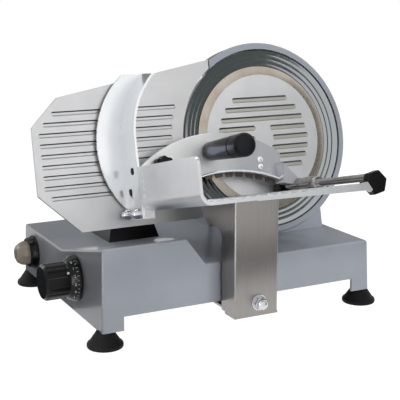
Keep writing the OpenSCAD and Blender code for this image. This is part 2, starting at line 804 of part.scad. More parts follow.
module hand_guard() color(polished) on_blade() difference() {
    union() {
        at_n(guard_back + guard_t, guard_front) guard_band_2d();
        at_n(guard_back, guard_back + guard_t) {
            guard_flange_2d();
            translate([wall_x, -93]) square([guard_t, 20]);
        }
    }
    along_x(wall_x - 1, wall_x + 60) polygon([[guard_top, guard_back + guard_t],
        [guard_top - guard_fall, guard_front + 0.1], [guard_top + 1, guard_front + 0.1]]);
    for (n0 = guard_screw_n) translate([wall_x, guard_screw_u, n0]) round_bar(2.4, -1, guard_t + 1);
    for (p = guard_slots) translate([wall_x - 1, p[1] - 3.5, p[0] - 1.5]) cube([guard_t + 2, 7, 3]);
}

module guard_screws() color(polished) on_blade() for (n0 = guard_screw_n)
    translate([wall_x, guard_screw_u, n0]) {
        rotate([0, -90, 0]) rotate_extrude()
            polygon([[0, 0], [6.8, 0], [6.8, 3.5], [5.6, 7], [3.2, 9.3], [0, 10]]);
        round_bar(2, 0, 14);
    }

module pusher_rod() color(polished) on_blade() translate([rod_x, rod_u, 0])
    at_n(5, rod_end) circle(r = rod_r);

module rod_rear_support() color(dark) on_blade() at_n(4, hub_n0 - 1) difference() {
    translate([tray_right, floor_u - floor_t - 2]) square([25, 23]);
    translate([rod_x, rod_u]) circle(r = rod_r);
}

block_r = 16;
block_n = 208;
rod_end = 216;

module rod_end_block() color(dark) on_blade() difference() {
    at_n(block_n, tray_front - 4.5) {
        translate([rod_x + 4, rod_u - 7]) rotate(12) circle(r = block_r, $fn = 6);
        // neck to the tray's floor
        translate([tray_right, floor_u - floor_t]) square([rod_x - tray_right, 8]);
    }
    translate([rod_x, rod_u, 0]) at_n(100, rod_end) circle(r = rod_r);
}

module hub_sleeve() color(polished) on_blade() translate([rod_x, rod_u, 0]) difference() {
    union() {
        at_n(hub_n0 - 0.5, 94) circle(r = sleeve_r);
        at_n(93.5, 98) circle(r = 9);
    }
    at_n(0, 120) circle(r = rod_r + fit);
}

module pusher_hub() color(polished) on_blade() translate([rod_x, rod_u, 0]) difference() {
    rotate_extrude() polygon([[0, hub_n0], [hub_r - 1, hub_n0], [hub_r, hub_n0 + 1], [hub_r, 54],
        [hub_r - 1, 55], [hub_r - 1.5, 55.5], [hub_r - 1.5, 59.5], [hub_r - 1, 60], [hub_r, 61], [hub_r, 92],
        [hub_r - 1, 93], [0, 93]]);
    at_n(0, 120) circle(r = sleeve_r + fit);
}

pusher_n = 22;
pusher_t = 6;
arch_x = -85;
arch_r = 200;
arch_u = -44.3 - arch_r;
crown_x = -99;
crown_r = 177;
crown_u = 11 - crown_r;
pusher_left = -206;
pusher_right = 6;
grip_x = -103.5;
grip_u = -14;

module pusher_2d() {
    intersection() {
        translate([crown_x, crown_u]) circle(r = crown_r, $fn = 128);
        translate([pusher_left, floor_u + 6]) square([pusher_right - pusher_left, 100]);
    }
}

module pusher_plate() color(satin) on_blade() difference() {
    union() {
        at_n(pusher_n, pusher_n + pusher_t) difference() {
            pusher_2d();
            translate([arch_x, arch_u]) circle(r = arch_r, $fn = 128);
        }
        // lip along the arch
        at_n(pusher_n, pusher_n + 14) intersection() {
            pusher_2d();
            translate([arch_x, arch_u]) difference() {
                circle(r = arch_r + 3, $fn = 128);
                circle(r = arch_r, $fn = 128);
            }
        }
        // gusset to the hub
        at_n(pusher_n, 50) polygon([[-4, -38], [rod_x - 2, -60], [rod_x - 2, rod_u], [-4, -67]]);
    }
    translate([rod_x, rod_u, 0]) at_n(0, 120) circle(r = hub_r);
    translate([grip_x, grip_u, 0]) at_n(0, 40) circle(r = 4);
    for (p = comb_screws) translate(p) at_n(0, 40) circle(r = comb_screw_r);
    translate([comb_knob_x, comb_knob_u, 0]) at_n(0, 40) circle(r = knob_stud_r);
}

comb_knob_x = -177;
comb_knob_u = -29;
knob_stud_r = 3;

// Knob that holds the left end of the comb's carrier, with a short stud into the plate
module comb_knob() color(dark) on_blade() translate([comb_knob_x, comb_knob_u, pusher_n + 1]) {
    cylinder(r = knob_stud_r, h = pusher_t);
    translate([0, 0, pusher_t - 1]) lobed_knob(12.5, 14, 3.6);
}

comb_t = 3;
comb_screws = [[-28, -31], [-28, -41]];
comb_screw_r = 2;
tooth_pitch = 16;
tooth_shift = 3;
// Gap between two teeth, at their roots and at their tips
tooth_gap = [4.5, 8];

module pusher_comb() color(stainless) on_blade() at_n(pusher_n - comb_t, pusher_n) difference() {
    intersection() {
        translate([arch_x, arch_u]) difference() {
            circle(r = arch_r + 12, $fn = 128);
            circle(r = arch_r - 6, $fn = 128);
        }
        translate([pusher_left + 6, floor_u + 6]) square([pusher_right - pusher_left - 10, 100]);
    }
    translate([arch_x, arch_u]) for (k = [-4:6])
        rotate((k * tooth_pitch - tooth_shift) / arch_r * 180 / PI) translate([0, arch_r])
            polygon([[-tooth_gap[0] / 2, -1], [tooth_gap[0] / 2, -1], [tooth_gap[1] / 2, -8],
                [-tooth_gap[1] / 2, -8]]);
    for (p = comb_screws) translate(p) circle(r = comb_screw_r);
}

module pusher_grip() color(dark) on_blade() translate([grip_x, grip_u, pusher_n + pusher_t]) difference() {
    rotate_extrude() polygon([[0, 0], [9, 0], [11.5, 2], [12.8, 6], [15.2, 74], [14.6, 75], [14.6, 77],
        [15.3, 78], [15.6, 96], [14.6, 99], [12, 100.5], [0, 101]]);
    translate([0, 0, -1]) cylinder(r = 4, h = 41);
}

module grip_stud() color(steel) on_blade() translate([grip_x, grip_u, 0]) {
    at_n(pusher_n - 1, pusher_n + pusher_t + 40) circle(r = 4);
    at_n(pusher_n - 5, pusher_n - 1) circle(r = 6);
}

module pusher_screws() color(polished) on_blade() for (p = comb_screws) translate(p) {
    at_n(pusher_n - comb_t, pusher_n + pusher_t) circle(r = comb_screw_r);
    translate([0, 0, pusher_n + pusher_t]) rotate_extrude()
        polygon([[0, 0], [4.7, 0], [4.3, 1.4], [2.6, 2.4], [0, 2.6]]);
}

base_housing();
bottom_cover();
rubber_feet();
foot_screws();
blade_housing();
housing_screws();
blade_bearings();
motor_plate();
motor_body();
motor_cover();
drive_belt();
run_capacitor();
power_board();
blade_cover();
gauge_boot();
gauge_guide_bar();
gauge_bar_blocks();
dial_bush();
switch_bezel();
switch_body();
cable_gland();
carriage_guide_bar();
carriage_support_bar();
slicing_blade();
blade_shaft();
blade_pulley();
blade_screws();
motor_shaft();
motor_pulley();
cover_tie_rod();
tie_rod_knob();
gauge_plate();
gauge_bracket();
gauge_screws();
thickness_knob();
dial_shaft();
dial_cam();
switch_button();
carriage_arm();
slider_foot();
carriage_slider();
slider_bushes();
arm_nut();
product_tray();
hand_guard();
guard_screws();
pusher_rod();
rod_rear_support();
rod_end_block();
hub_sleeve();
pusher_hub();
pusher_plate();
pusher_comb();
pusher_grip();
grip_stud();
pusher_screws();
comb_knob();
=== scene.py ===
"""Countertop deli slicer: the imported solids, dressed with finished pieces and their materials."""

import json
import math

import bmesh
import bpy
from mathutils import Matrix, Vector


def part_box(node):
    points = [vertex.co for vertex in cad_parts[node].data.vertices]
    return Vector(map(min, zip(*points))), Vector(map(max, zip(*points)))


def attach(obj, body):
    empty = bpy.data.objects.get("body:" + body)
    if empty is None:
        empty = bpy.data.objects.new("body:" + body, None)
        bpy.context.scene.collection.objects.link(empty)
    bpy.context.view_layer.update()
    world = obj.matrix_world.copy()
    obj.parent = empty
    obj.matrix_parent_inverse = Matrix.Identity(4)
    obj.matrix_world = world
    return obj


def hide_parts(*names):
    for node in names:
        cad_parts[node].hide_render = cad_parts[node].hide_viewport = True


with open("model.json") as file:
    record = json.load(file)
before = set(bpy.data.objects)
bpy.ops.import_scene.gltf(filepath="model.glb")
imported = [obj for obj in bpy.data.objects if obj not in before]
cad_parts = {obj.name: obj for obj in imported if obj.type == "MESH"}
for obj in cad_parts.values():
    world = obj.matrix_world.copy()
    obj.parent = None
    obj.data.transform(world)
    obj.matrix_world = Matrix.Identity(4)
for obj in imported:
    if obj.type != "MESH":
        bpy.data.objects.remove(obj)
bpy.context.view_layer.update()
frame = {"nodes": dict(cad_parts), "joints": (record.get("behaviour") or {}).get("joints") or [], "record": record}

# Two working frames, in millimetres: the base's front left corner on the table, and the blade's own,
# with x to the right, u up the blade and n out of its face

MM = 0.001
joints = {joint["name"]: joint for joint in frame["joints"]}
DRAFT = 3
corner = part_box("base_housing")[0] + Vector((DRAFT, DRAFT, 0)) * MM
out_of_blade = Vector(joints["blade_spin"]["axis"])
along = Vector((1, 0, 0))
up_blade = out_of_blade.cross(along)
BASE = Matrix.Translation((corner.x, corner.y, 0)) @ Matrix.Scale(MM, 4)
BLADE = (
    Matrix.Translation(joints["blade_spin"]["pos_m"])
    @ Matrix((along, up_blade, out_of_blade)).transposed().to_4x4()
    @ Matrix.Scale(MM, 4)
)
TO_BLADE = BLADE.inverted()

# Materials


def linear(hex_colour):
    """sRGB hex, as a paint chart gives it, to the linear colour that a shader takes."""
    channels = [int(hex_colour[i : i + 2], 16) / 255 for i in (1, 3, 5)]
    return [c / 12.92 if c <= 0.04045 else ((c + 0.055) / 1.055) ** 2.4 for c in channels] + [1.0]


def add(tree, kind, inputs=None, **settings):
    """One node with its settings. An input that is given a socket is linked to it."""
    node = tree.nodes.new(kind)
    for key, value in settings.items():
        setattr(node, key, value)
    for name, value in (inputs or {}).items():
        if isinstance(value, bpy.types.NodeSocket):
            tree.links.new(value, node.inputs[name])
        else:
            node.inputs[name].default_value = value
    return node


def new_material(name, colour, **sockets):
    """A material with one principled shader, its plain values set on the shader itself."""
    material = bpy.data.materials.new(name)
    material.use_nodes = True
    shader = material.node_tree.nodes["Principled BSDF"]
    shader.inputs["Base Color"].default_value = linear(colour)
    for socket, value in sockets.items():
        shader.inputs[socket.replace("_", " ")].default_value = value
    return material, material.node_tree, shader


def per_mm(size):
    """Noise scale that makes a feature of the given size in millimetres."""
    return 1 / (size * MM)


def grain(tree, shader, size, depth, roughness, stretch=(1, 1, 1)):
    """A fine surface texture: bump from noise of a real size, and roughness that wanders with it."""
    place = add(tree, "ShaderNodeTexCoord")
    mapped = add(tree, "ShaderNodeMapping", {"Vector": place.outputs["Object"], "Scale": stretch})
    vector = mapped.outputs["Vector"]
    noise = add(tree, "ShaderNodeTexNoise", {"Vector": vector, "Scale": per_mm(size), "Detail": 2.0,
                                             "Roughness": 0.6})
    bump = add(tree, "ShaderNodeBump", {"Height": noise.outputs["Fac"], "Strength": 1.0,
                                        "Distance": depth * MM})
    tree.links.new(bump.outputs["Normal"], shader.inputs["Normal"])
    spread = add(tree, "ShaderNodeMapRange", {"Value": noise.outputs["Fac"], "From Min": 0.3,
                                              "From Max": 0.7, "To Min": roughness[0],
                                              "To Max": roughness[1]})
    tree.links.new(spread.outputs["Result"], shader.inputs["Roughness"])
    return vector


def mottle(tree, shader, vector, size, colours):
    """Slow colour change over the surface, between two close colours."""
    cloud = add(tree, "ShaderNodeTexNoise", {"Vector": vector, "Scale": per_mm(size), "Detail": 3.0})
    ramp = add(tree, "ShaderNodeValToRGB", {"Fac": cloud.outputs["Fac"]})
    ramp.color_ramp.elements[0].position = 0.35
    ramp.color_ramp.elements[0].color = linear(colours[0])
    ramp.color_ramp.elements[1].position = 0.65
    ramp.color_ramp.elements[1].color = linear(colours[1])
    tree.links.new(ramp.outputs["Color"], shader.inputs["Base Color"])


def grey_enamel():
    """Stove enamel on cast aluminium: blue-grey, half gloss, with a fine orange peel."""
    material, tree, shader = new_material("grey_stove_enamel", "#989da6", Coat_Weight=0.5,
                                          Coat_Roughness=0.12)
    vector = grain(tree, shader, 1.6, 0.02, (0.34, 0.44))
    mottle(tree, shader, vector, 60, ("#959aa3", "#9ba0a9"))
    return material


def blasted_aluminium(name, colours, bare):
    """Glass-blasted and anodised aluminium: pale, soft sheen, with a barely visible grit."""
    material, tree, shader = new_material(name, colours[0], Metallic=bare)
    vector = grain(tree, shader, 0.9, 0.012, (0.32, 0.44))
    mottle(tree, shader, vector, 45, colours)
    return material


def polished_aluminium():
    """Buffed aluminium sheet: bright and clear, with a faint buffing cloud in its colour."""
    material, tree, shader = new_material("polished_aluminium", "#f1f3f6", Metallic=0.7, Roughness=0.2)
    place = add(tree, "ShaderNodeTexCoord")
    mottle(tree, shader, place.outputs["Object"], 60, ("#eef1f4", "#f4f6f8"))
    return material


def buffed_rim():
    """The cover's sloped rim, buffed by cleaning: smoother than its face; its warm tan tone is a painted
    reflection of warm surroundings.
    """
    material, tree, shader = new_material("rim_aluminium_painted_warm_reflection", "#bcb3a6", Metallic=1.0)
    vector = grain(tree, shader, 3.0, 0.006, (0.26, 0.36))
    mottle(tree, shader, vector, 30, ("#b6ac9e", "#c2baae"))
    return material


def cast_aluminium():
    """Tumbled aluminium casting, smooth and soft; painted light and shade run across it: pale at its free end,
    grey as painted shade over the tray.
    """
    material, tree, shader = new_material("tumbled_cast_aluminium", "#e2e1df", Metallic=0.6)
    vector = grain(tree, shader, 2.2, 0.04, (0.36, 0.5))
    place = add(tree, "ShaderNodeSeparateXYZ", {"Vector": vector})
    painted_shade_ramp = add(tree, "ShaderNodeMapRange", {"Value": place.outputs["X"], "From Min": -15 * MM,
                                            "From Max": 45 * MM, "To Max": 0.9})
    cloud = add(tree, "ShaderNodeTexNoise", {"Vector": vector, "Scale": per_mm(25)})
    share = add(tree, "ShaderNodeMath", {0: cloud.outputs["Fac"], 1: 0.2, 2: painted_shade_ramp.outputs["Result"]},
                operation="MULTIPLY_ADD")
    ramp = add(tree, "ShaderNodeValToRGB", {"Fac": share.outputs[0]})
    ramp.color_ramp.elements[0].color = linear("#f0f0f0")
    ramp.color_ramp.elements[1].color = linear("#babcc1")
    tree.links.new(ramp.outputs["Color"], shader.inputs["Base Color"])
    return material


def brushed_stainless():
    """Stainless sheet with a long belt grain, drawn coarser than the real 0.1 mm so that it shows."""
    material, tree, shader = new_material("brushed_stainless_sheet", "#9a9693", Metallic=1.0, Anisotropic=0.5)
    vector = grain(tree, shader, 0.4, 0.002, (0.27, 0.33), stretch=(1.0, 1.0, 0.01))
    mottle(tree, shader, vector, 1.2, ("#989491", "#9c9895"))
    return material


def ground_blade_steel():
    """Hollow-ground blade steel: mirror bright, with turning rings too fine to count."""
    material, tree, shader = new_material("ground_blade_steel", "#a5a9ac", Metallic=1.0)
    grain(tree, shader, 5.0, 0.006, (0.09, 0.15))
    return material


def bright_chrome(name, colour):
    """Chromed bar and fittings: hard clear reflections, duller where hands and food wear them."""
    material, tree, shader = new_material(name, colour, Metallic=1.0)
    grain(tree, shader, 9.0, 0.006, (0.05, 0.12))
    return material


def plain_steel():
    """Zinc-plated steel of inner and fixing pieces: dull, a little blotched."""
    material, tree, shader = new_material("zinc_plated_steel", "#8e9196", Metallic=1.0)
    vector = grain(tree, shader, 1.2, 0.02, (0.34, 0.5))
    mottle(tree, shader, vector, 9, ("#868a8f", "#989b9f"))
    return material


def dark_steel():
    """Hardened steel of the comb: dull, with a dark brown-grey that is painted shade from under the pusher's lip.
    """
    material, tree, shader = new_material("comb_steel_painted_shade", "#5d544c", Metallic=0.7)
    vector = grain(tree, shader, 1.0, 0.01, (0.35, 0.5))
    mottle(tree, shader, vector, 6, ("#544b44", "#665d54"))
    return material


def turned_bronze():
    """Bearing bronze: warm brown metal with a turned surface."""
    material, tree, shader = new_material("turned_bronze", "#a87b45", Metallic=1.0)
    grain(tree, shader, 0.8, 0.01, (0.28, 0.4))
    return material


def black_moulding(name, colours, roughness, gloss):
    """Moulded black nylon: deep black with a soft wide sheen and a fine spark-eroded grain."""
    material, tree, shader = new_material(name, colours[0], Specular_IOR_Level=gloss)
    vector = grain(tree, shader, 0.8, 0.02, roughness)
    mottle(tree, shader, vector, 18, colours)
    return material


def black_rubber():
    """Black rubber: flat and dusty, with a slight bloom."""
    material, tree, shader = new_material("black_moulded_rubber", "#0f0f11", Specular_IOR_Level=0.22)
    vector = grain(tree, shader, 1.4, 0.04, (0.55, 0.75))
    mottle(tree, shader, vector, 12, ("#0c0c0e", "#131315"))
    return material


def clear_cap_plastic():
    """Clear moulded cover over the switch: a little yellowed, half see-through, glossy."""
    material, tree, shader = new_material("clear_moulded_pvc", "#c9c2b8", Transmission_Weight=0.6, IOR=1.45)
    grain(tree, shader, 3.0, 0.03, (0.1, 0.25))
    return material


def beige_button():
    """Pale urea button under the clear cap: smooth, half matt."""
    material, tree, shader = new_material("pale_urea_button", "#a79c8f")
    vector = grain(tree, shader, 1.0, 0.02, (0.35, 0.5))
    mottle(tree, shader, vector, 8, ("#a0958a", "#aea497"))
    return material


def circuit_board_lacquer():
    """Lacquered circuit board: dark green, glossy in patches."""
    material, tree, shader = new_material("lacquered_circuit_board", "#2d5a3c")
    vector = grain(tree, shader, 2.0, 0.05, (0.3, 0.55))
    mottle(tree, shader, vector, 5, ("#27523a", "#336242"))
    return material


def white_marking():
    """White filler paint in the dial's numbers: flat and slightly worn."""
    material, tree, shader = new_material("white_marking_paint", "#e9e9e6")
    vector = grain(tree, shader, 0.6, 0.02, (0.5, 0.7))
    mottle(tree, shader, vector, 4, ("#dcdcd8", "#f0f0ee"))
    return material


PAINT = grey_enamel()
SATIN = blasted_aluminium("satin_anodised_aluminium", ("#cfcfd0", "#d6d6d7"), 0.65)
COVER_FACE = blasted_aluminium("satin_cover_aluminium", ("#dcdcde", "#e3e3e5"), 0.65)
# Groove floors, darker and warmer than the face as painted shade and a painted warm reflection; upper flanks dark
# as painted shade, drawing each groove's line
CHANNEL_FLOOR_PAINTED_SHADE = blasted_aluminium("channel_floor_painted_shade_reflection", ("#bfbeb3", "#c6c5ba"), 0.65)
UPPER_WALL_PAINTED_SHADE = blasted_aluminium("upper_wall_painted_shade", ("#4c4c50", "#555559"), 0.65)
TRAY = blasted_aluminium("satin_tray_aluminium", ("#dfe1e3", "#e6e8ea"), 1.0)
# The rim's warm tan is a painted reflection
COVER_RIM = buffed_rim()
POLISHED = polished_aluminium()
CASTING = cast_aluminium()
STAINLESS = brushed_stainless()
BLADE_STEEL = ground_blade_steel()
CHROME = bright_chrome("bright_chrome", "#d0d1d4")
# Chrome of the rod and hub: darker and browner as a painted reflection of the dim surroundings it mirrors
CHROME_PAINTED_REFLECTION = bright_chrome("chrome_painted_dark_reflection", "#a5a19d")
STEEL = plain_steel()
BRONZE = turned_bronze()
BLACK = black_moulding("moulded_black_nylon", ("#0a0a0b", "#0e0e0f"), (0.2, 0.3), 0.2)
GRIP = black_moulding("moulded_black_grip", ("#0d0e10", "#111215"), (0.26, 0.34), 0.22)
# The comb's dark brown-grey is painted shade from under the pusher's lip
COMB = dark_steel()
RUBBER = black_rubber()
CLEAR = clear_cap_plastic()
BEIGE = beige_button()
BOARD = circuit_board_lacquer()
WHITE = white_marking()

# What each of the record's material slots is made of, for the nodes that stay as they are
finishes = {
    "painted_casting": PAINT,
    "satin_aluminium": SATIN,
    "polished_aluminium": POLISHED,
    "stainless_sheet": STAINLESS,
    "polished_blade_steel": BLADE_STEEL,
    "chromed_steel": CHROME,
    "plain_steel": STEEL,
    "bronze": BRONZE,
    "black_rubber": RUBBER,
    "black_plastic": BLACK,
    "clear_cap": CLEAR,
    "circuit_board": BOARD,
}
for entry in frame["record"]["subparts"]:
    mesh = frame["nodes"][entry["node"]].data
    mesh.materials.clear()
    mesh.materials.append(finishes[entry["material_slot"]])

# Making the pieces

BODY = {node: body for body, nodes in frame["record"]["behaviour"]["bodies"].items() for node in nodes}


def piece(name, bm, place, material, *nodes, body=None, slot=None, crease=32):
    """A finished mesh in its place, smooth between sharp edges, on the body of what it stands for."""
    bm.transform(place)
    for face in bm.faces:
        face.smooth = True
    for edge in bm.edges:
        edge.smooth = edge.is_manifold and edge.calc_face_angle() < math.radians(crease)
    mesh = bpy.data.meshes.new(name)
    bm.to_mesh(mesh)
    bm.free()
    mesh.materials.append(material)
    made = bpy.data.objects.new(name, mesh)
    bpy.context.scene.collection.objects.link(made)
    even = made.modifiers.new("flat_faces_stay_flat", "WEIGHTED_NORMAL")
    even.weight = 100
    even.keep_sharp = True
    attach(made, body or BODY[nodes[0]])
    if nodes:
        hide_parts(*nodes)
    return made


WELD = 0.002
FLAT = math.radians(0.5)


def carried(node, place):
    """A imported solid's mesh in a working frame, its loose triangles merged and joined to whole faces."""
    bm = bmesh.new()
    bm.from_mesh(frame["nodes"][node].data)
    bm.transform(place.inverted())
    bmesh.ops.remove_doubles(bm, verts=bm.verts, dist=WELD)
    bmesh.ops.dissolve_limit(bm, angle_limit=FLAT, verts=bm.verts, edges=bm.edges)
    return bm


def soften(bm, width, segments=2, where=None, sharper=35, hollow=False):
    """Rounds the edges that stand out, or with hollow those that lie in, and are sharper than an angle."""
    side = -1 if hollow else 1
    edges = [
        edge for edge in bm.edges
        if edge.is_manifold and side * edge.calc_face_angle_signed() > math.radians(sharper)
        and (where is None or where(edge.verts[0].co, edge.verts[1].co))
    ]
    bmesh.ops.bevel(bm, geom=edges, offset=width, segments=segments, profile=0.5, affect="EDGES",
                    clamp_overlap=True, material=-1)
    return bm


def turned(profile, steps=96, rounding=0.0):
    """A turned shape about z from its half outline of radius and height, with its corners rounded."""
    bm = bmesh.new()
    points = [bm.verts.new((radius, 0, height)) for radius, height in profile]
    lines = [bm.edges.new(pair) for pair in zip(points, points[1:])]
    bmesh.ops.spin(bm, geom=points + lines, cent=(0, 0, 0), axis=(0, 0, 1), angle=math.tau, steps=steps,
                   use_merge=True)
    bmesh.ops.remove_doubles(bm, verts=bm.verts, dist=0.001)
    bmesh.ops.recalc_face_normals(bm, faces=bm.faces)
    if rounding:
        soften(bm, rounding, 3, sharper=14)
    return bm


def repeated(bm, places):
    """The same shape at each of several places, as one mesh."""
    shape = bpy.data.meshes.new("shape")
    bm.to_mesh(shape)
    bm.free()
    many = bmesh.new()
    for place in places:
        start = len(many.verts)
        many.from_mesh(shape)
        many.verts.ensure_lookup_table()
        bmesh.ops.transform(many, matrix=place, verts=many.verts[start:])
    bpy.data.meshes.remove(shape)
    return many


def refinish(made, finish, where):
    """Another finish on the faces picked by their middle in the blade's frame and their normal."""
    made.data.materials.append(finish)
    index = len(made.data.materials) - 1
    for face in made.data.polygons:
        if where(TO_BLADE @ face.center, face.normal):
            face.material_index = index


def move(x, y, z):
    return Matrix.Translation((x, y, z))


FACING_LEFT = Matrix.Rotation(-math.pi / 2, 4, "Y")
FACING_FRONT = Matrix.Rotation(math.pi / 2, 4, "X")
TURNED_OVER = Matrix.Rotation(math.pi, 4, "X")

# The painted castings

# Left, right, front and back of the openings in the base's top that the hood and the boot cover
MOTOR_WELL = (243, 351, 164, 304)
COLUMN_WELL = (87, 123, 150.5, 206)


def over(well, point):
    left, right, front, back = well
    return left < point.x < right and front < point.y < back


def base_casting():
    """The enamelled base, with its long outer edges rounded as the mould leaves them."""
    bm = carried("base_housing", BASE)

    def outer(a, b):
        middle = (a + b) / 2
        hidden = over(MOTOR_WELL, middle) or over(COLUMN_WELL, middle)
        return (a - b).length > 12 and max(a.z, b.z) > 45 and not hidden

    soften(bm, 3.2, 4, outer)
    piece("base_casting", bm, BASE, PAINT, "base_housing")


def ring_guard_casting():
    """The ring guard with the drive tower behind it: a full round on the ring's outer edge."""
    bm = carried("blade_housing", BLADE)
    soften(bm, 2.6, 4, lambda a, b: a.z > 1 and b.z > 1 and min(a.xy.length, b.xy.length) > 131)
    soften(bm, 0.8, 2, lambda a, b: (a - b).length > 2.5)
    piece("ring_guard_casting", bm, BLADE, PAINT, "blade_housing")


def motor_hood():
    """The hood over the motor, with soft shoulders and a row of air slots low in its back."""
    bm = carried("motor_cover", BASE)
    soften(bm, 5, 5, lambda a, b: (a - b).length > 30 and max(a.z, b.z) > 130)
    soften(bm, 4, 4, lambda a, b: abs(a.z - b.z) > 35)
    piece("motor_hood", bm, BASE, PAINT, "motor_cover")


# The gauge plate, its boot, dial and switch


NEAR = 0.1
LOWER_FLANK = 1.6


def sloped_grooves(bm, floor, depth, widen, upper_flank):
    """Widens each square groove, slopes its upper and lower flanks, and tells where the grooves are."""
    spans = []
    for face in bm.faces:
        if all(abs(vert.co.z - floor) < NEAR for vert in face.verts):
            xs = [vert.co.x for vert in face.verts]
            us = [vert.co.y for vert in face.verts]
            spans.append((min(xs), max(xs), min(us), max(us)))
    for vert in bm.verts:
        for left, right, low, high in spans:
            beside = left - 0.01 < vert.co.x < right + 0.01 and low - 0.01 < vert.co.y < high + 0.01
            if beside and vert.co.z > floor - NEAR:
                side = 2 * (vert.co.y - low) / (high - low) - 1
                vert.co.y += side * widen
                if vert.co.z < floor + NEAR:
                    vert.co.y -= side * (upper_flank if side > 0 else LOWER_FLANK)
                    vert.co.z = depth
                break
    return spans


def finish_grooves(made, spans, top, depth, floor_finish):
    """The grooves' own finishes: one on their floors, painted shade on their downward upper flanks, and a polished
    painted highlight on their left-facing right ends.
    """

    def inside(middle):
        return depth - 0.2 < middle.z < top and any(
            left - 1 < middle.x < right + 1 and low - 2 < middle.y < high + 2
            for left, right, low, high in spans)

    refinish(made, floor_finish, lambda middle, normal: inside(middle))
    # Upper flanks, facing down, take a dark finish as painted shade
    refinish(made, UPPER_WALL_PAINTED_SHADE, lambda middle, normal: inside(middle) and normal.dot(up_blade) < -0.3)
    # Right ends, facing left, take the bright polished finish as a painted highlight
    refinish(made, POLISHED, lambda middle, normal: inside(middle) and normal.dot(along) < -0.45)


def gauge_table():
    """The grooved gauge plate: each groove is a milled channel with a rolled rim."""
    bm = carried("gauge_plate", BLADE)
    spans = sloped_grooves(bm, floor=-1.8, depth=-2.4, widen=0.5, upper_flank=1.6)
    soften(bm, 0.6, 2, lambda a, b: min(a.z, b.z) > -0.4 and min(a.xy.length, b.xy.length) > 130)
    made = piece("grooved_gauge_plate", bm, BLADE, SATIN, "gauge_plate")
    finish_grooves(made, spans, top=-0.5, depth=-2.4, floor_finish=SATIN)


def column_boot():
    """The black boot over the gauge's column, with soft moulded edges."""
    bm = carried("gauge_boot", BASE)
    soften(bm, 1.6, 3, lambda a, b: max(a.z, b.z) > 100)
    piece("column_boot", bm, BASE, BLACK, "gauge_boot")


KNOB = BASE @ move(0, 91, 67) @ FACING_LEFT
CONE_RIM = Vector((30, 6.5))
CONE_TOP = Vector((25, 15.5))


def dial_knob():
    """The fluted dial knob on its cone."""
    bm = carried("thickness_knob", KNOB)
    soften(bm, 0.8, 3, lambda a, b: (a - b).length > 0.6)
    piece("dial_knob", bm, KNOB, BLACK, "thickness_knob", crease=40)


def cone_place(turn, share):
    """A place on the dial's cone: x runs down the cone to its rim, y round it, z out of it."""
    slope = (CONE_RIM - CONE_TOP).normalized()
    radius, height = CONE_TOP.lerp(CONE_RIM, share)
    on_cone = Matrix((
        (slope.x, 0, -slope.y, radius),
        (0, 1, 0, 0),
        (slope.y, 0, slope.x, height),
        (0, 0, 0, 1),
    ))
    return KNOB @ Matrix.Rotation(math.radians(turn), 4, "Z") @ on_cone


def bar(length, width, depth):
    """A small flat bar about the middle, with its upper edges broken."""
    bm = bmesh.new()
    bmesh.ops.create_cube(bm, size=1)
    bmesh.ops.scale(bm, vec=(length, width, depth), verts=bm.verts)
    return soften(bm, min(width, depth) * 0.2, 1, lambda a, b: a.z > 0 and b.z > 0)


def number(text, height):
    """A plain number as a thin mesh, centred on its place."""
    curve = bpy.data.curves.new("number", "FONT")
    curve.body = text
    curve.size = height
    curve.extrude = 0.12
    curve.resolution_u = 4
    curve.align_x = "CENTER"
    curve.align_y = "CENTER"
    written = bpy.data.objects.new("number", curve)
    bpy.context.scene.collection.objects.link(written)
    bpy.context.view_layer.update()
    flat = bpy.data.meshes.new_from_object(written)
    bpy.data.objects.remove(written)
    bpy.data.curves.remove(curve)
    bm = bmesh.new()
    bm.from_mesh(flat)
    bpy.data.meshes.remove(flat)
    bmesh.ops.remove_doubles(bm, verts=bm.verts, dist=0.001)
    return bm


# How many numbers the dial has, the degrees between two of them, and where the first and the dot stand
NUMBERS = 15
NUMBER_TURN = 22
FIRST_TURN = -24
DOT_TURN = -54


def dial_markings():
    """White numbers for each millimetre of slice, ticks for each half, and the dot on the knob's collar."""
    on_dial = {"body": "dial", "slot": "black_plastic"}
    for k in range(NUMBERS):
        place = cone_place(FIRST_TURN - NUMBER_TURN * k, 0.45)
        piece(f"dial_number_{k}", number(str(k), 5.6), place, WHITE, **on_dial)
    turns = [FIRST_TURN - NUMBER_TURN * k / 2 for k in range(2 * NUMBERS)]
    places = [KNOB.inverted() @ cone_place(turn, 0.86) for turn in turns]
    piece("dial_ticks", repeated(bar(2.2, 0.55, 0.24), places), KNOB, WHITE, **on_dial)
    dot = turned([(0, 0.5), (1.2, 0.4), (1.7, 0), (1.7, -1), (0, -1)], 24)
    on_collar = move(23.5, 0, 18.2) @ Matrix.Rotation(math.pi / 2, 4, "Y")
    place = KNOB @ Matrix.Rotation(math.radians(DOT_TURN), 4, "Z") @ on_collar
    piece("dial_dot", dot, place, WHITE, **on_dial)


SWITCH = BASE @ move(-DRAFT, 262, 60) @ FACING_LEFT


def power_switch():
    """The push switch: a stepped black collar, a clear faceted cap and the pale button inside it."""
    collar = turned([(18.9, 0), (24, 0), (24, 2), (21.8, 6), (20.8, 11), (18.9, 11), (18.9, 0)], 96, 0.5)
    piece("switch_collar", collar, SWITCH, BLACK, "switch_bezel")
    cap = turned([(0, 4.5), (18.2, 4.5), (18.2, 15), (17.2, 20), (13.4, 26), (9, 28.2), (0, 28.4)], 8)
    soften(cap, 1.3, 3, sharper=8)
    piece("switch_cap", cap, SWITCH, CLEAR, "switch_button", crease=60)
    button = turned([(0, 5.2), (13, 5.2), (13, 16), (11.5, 19), (0, 20)], 48, 1.0)
    piece("switch_inner_button", button, SWITCH, BEIGE, body="switch", slot="clear_cap")
    stem = turned([(0, -14), (4, -14), (4, 4.6), (0, 4.6)], 32, 0.5)
    piece("switch_stem", stem, SWITCH, STEEL, body="switch", slot="clear_cap")


# The blade and its cover


